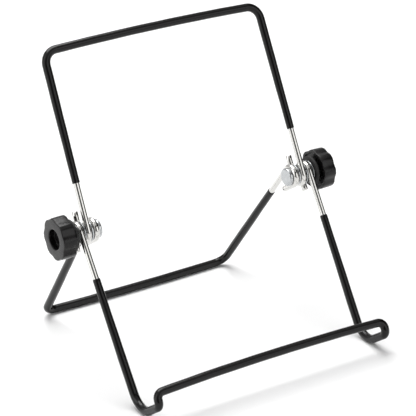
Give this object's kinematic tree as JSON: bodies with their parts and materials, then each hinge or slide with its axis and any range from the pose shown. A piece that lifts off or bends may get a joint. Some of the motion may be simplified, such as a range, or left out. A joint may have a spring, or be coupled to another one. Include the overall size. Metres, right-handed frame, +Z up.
{
  "type": "photo album stand",
  "caption": "Folding wire stand that holds a photo album upright at a slant: three U-shaped coated wire frames clamped on one axis by lobed knobs.",
  "frame": {"origin": "on the surface the stand rests on, at the middle of its bounding box; the plane x = 0 is the plane of symmetry", "axes": "+X to the stand's right as seen from in front, +Y to the rear, +Z up; the lip that holds the album faces -Y"},
  "size_m": [0.2044, 0.1726, 0.1999],
  "materials": {
    "chrome": "bright chrome plate on drawn steel wire, glossy",
    "zinc_steel": "bright zinc plated steel, satin",
    "black_vinyl": "black PVC dipped over the wire, glossy and slightly wavy",
    "knob_plastic": "moulded black plastic, satin",
    "black_rubber": "black rubber, matt"
  },
  "bodies": {
    "lower_frame": {"lower_wire": "chrome", "lower_vinyl_coat": "black_vinyl", "left_bolt": "zinc_steel", "right_bolt": "zinc_steel", "left_spacer_washer": "zinc_steel", "right_spacer_washer": "zinc_steel", "left_shim_washer": "zinc_steel", "right_shim_washer": "zinc_steel"},
    "upper_frame": {"upper_wire": "chrome", "upper_vinyl_coat": "black_vinyl"},
    "rear_leg": {"rear_wire": "chrome", "rear_vinyl_coat": "black_vinyl"},
    "left_clamp": {"left_flat_washer": "zinc_steel", "left_rubber_washer": "black_rubber"},
    "left_clamp_knob": {"left_knob": "knob_plastic", "left_knob_insert": "zinc_steel"},
    "right_clamp": {"right_flat_washer": "zinc_steel", "right_rubber_washer": "black_rubber"},
    "right_clamp_knob": {"right_knob": "knob_plastic", "right_knob_insert": "zinc_steel"}
  },
  "joints": [
    {"name": "upper_fold", "type": "hinge", "parent": "lower_frame", "child": "upper_frame", "pos_m": [0, 0.00838, 0.0923], "axis": [1, 0, 0], "range_deg": [-66, 148]},
    {"name": "rear_fold", "type": "hinge", "parent": "lower_frame", "child": "rear_leg", "pos_m": [0, 0.00838, 0.0923], "axis": [1, 0, 0], "range_deg": [-69, 30]},
    {"name": "left_clamp_release", "type": "slide", "parent": "lower_frame", "child": "left_clamp", "axis": [-1, 0, 0], "range_m": [0, 0.002]},
    {"name": "left_knob_turn", "type": "hinge", "parent": "left_clamp", "child": "left_clamp_knob", "pos_m": [-0.098, 0.00838, 0.0923], "axis": [-1, 0, 0], "range_deg": [0, 720]},
    {"name": "right_clamp_release", "type": "slide", "parent": "lower_frame", "child": "right_clamp", "axis": [1, 0, 0], "range_m": [0, 0.002]},
    {"name": "right_knob_turn", "type": "hinge", "parent": "right_clamp", "child": "right_clamp_knob", "pos_m": [0.098, 0.00838, 0.0923], "axis": [1, 0, 0], "range_deg": [0, 720]}
  ],
  "couplings": [
    {"joint": "left_clamp_release", "follows": "left_knob_turn", "m_per_rad": 0.000159},
    {"joint": "right_clamp_release", "follows": "right_knob_turn", "m_per_rad": 0.000159}
  ]
}
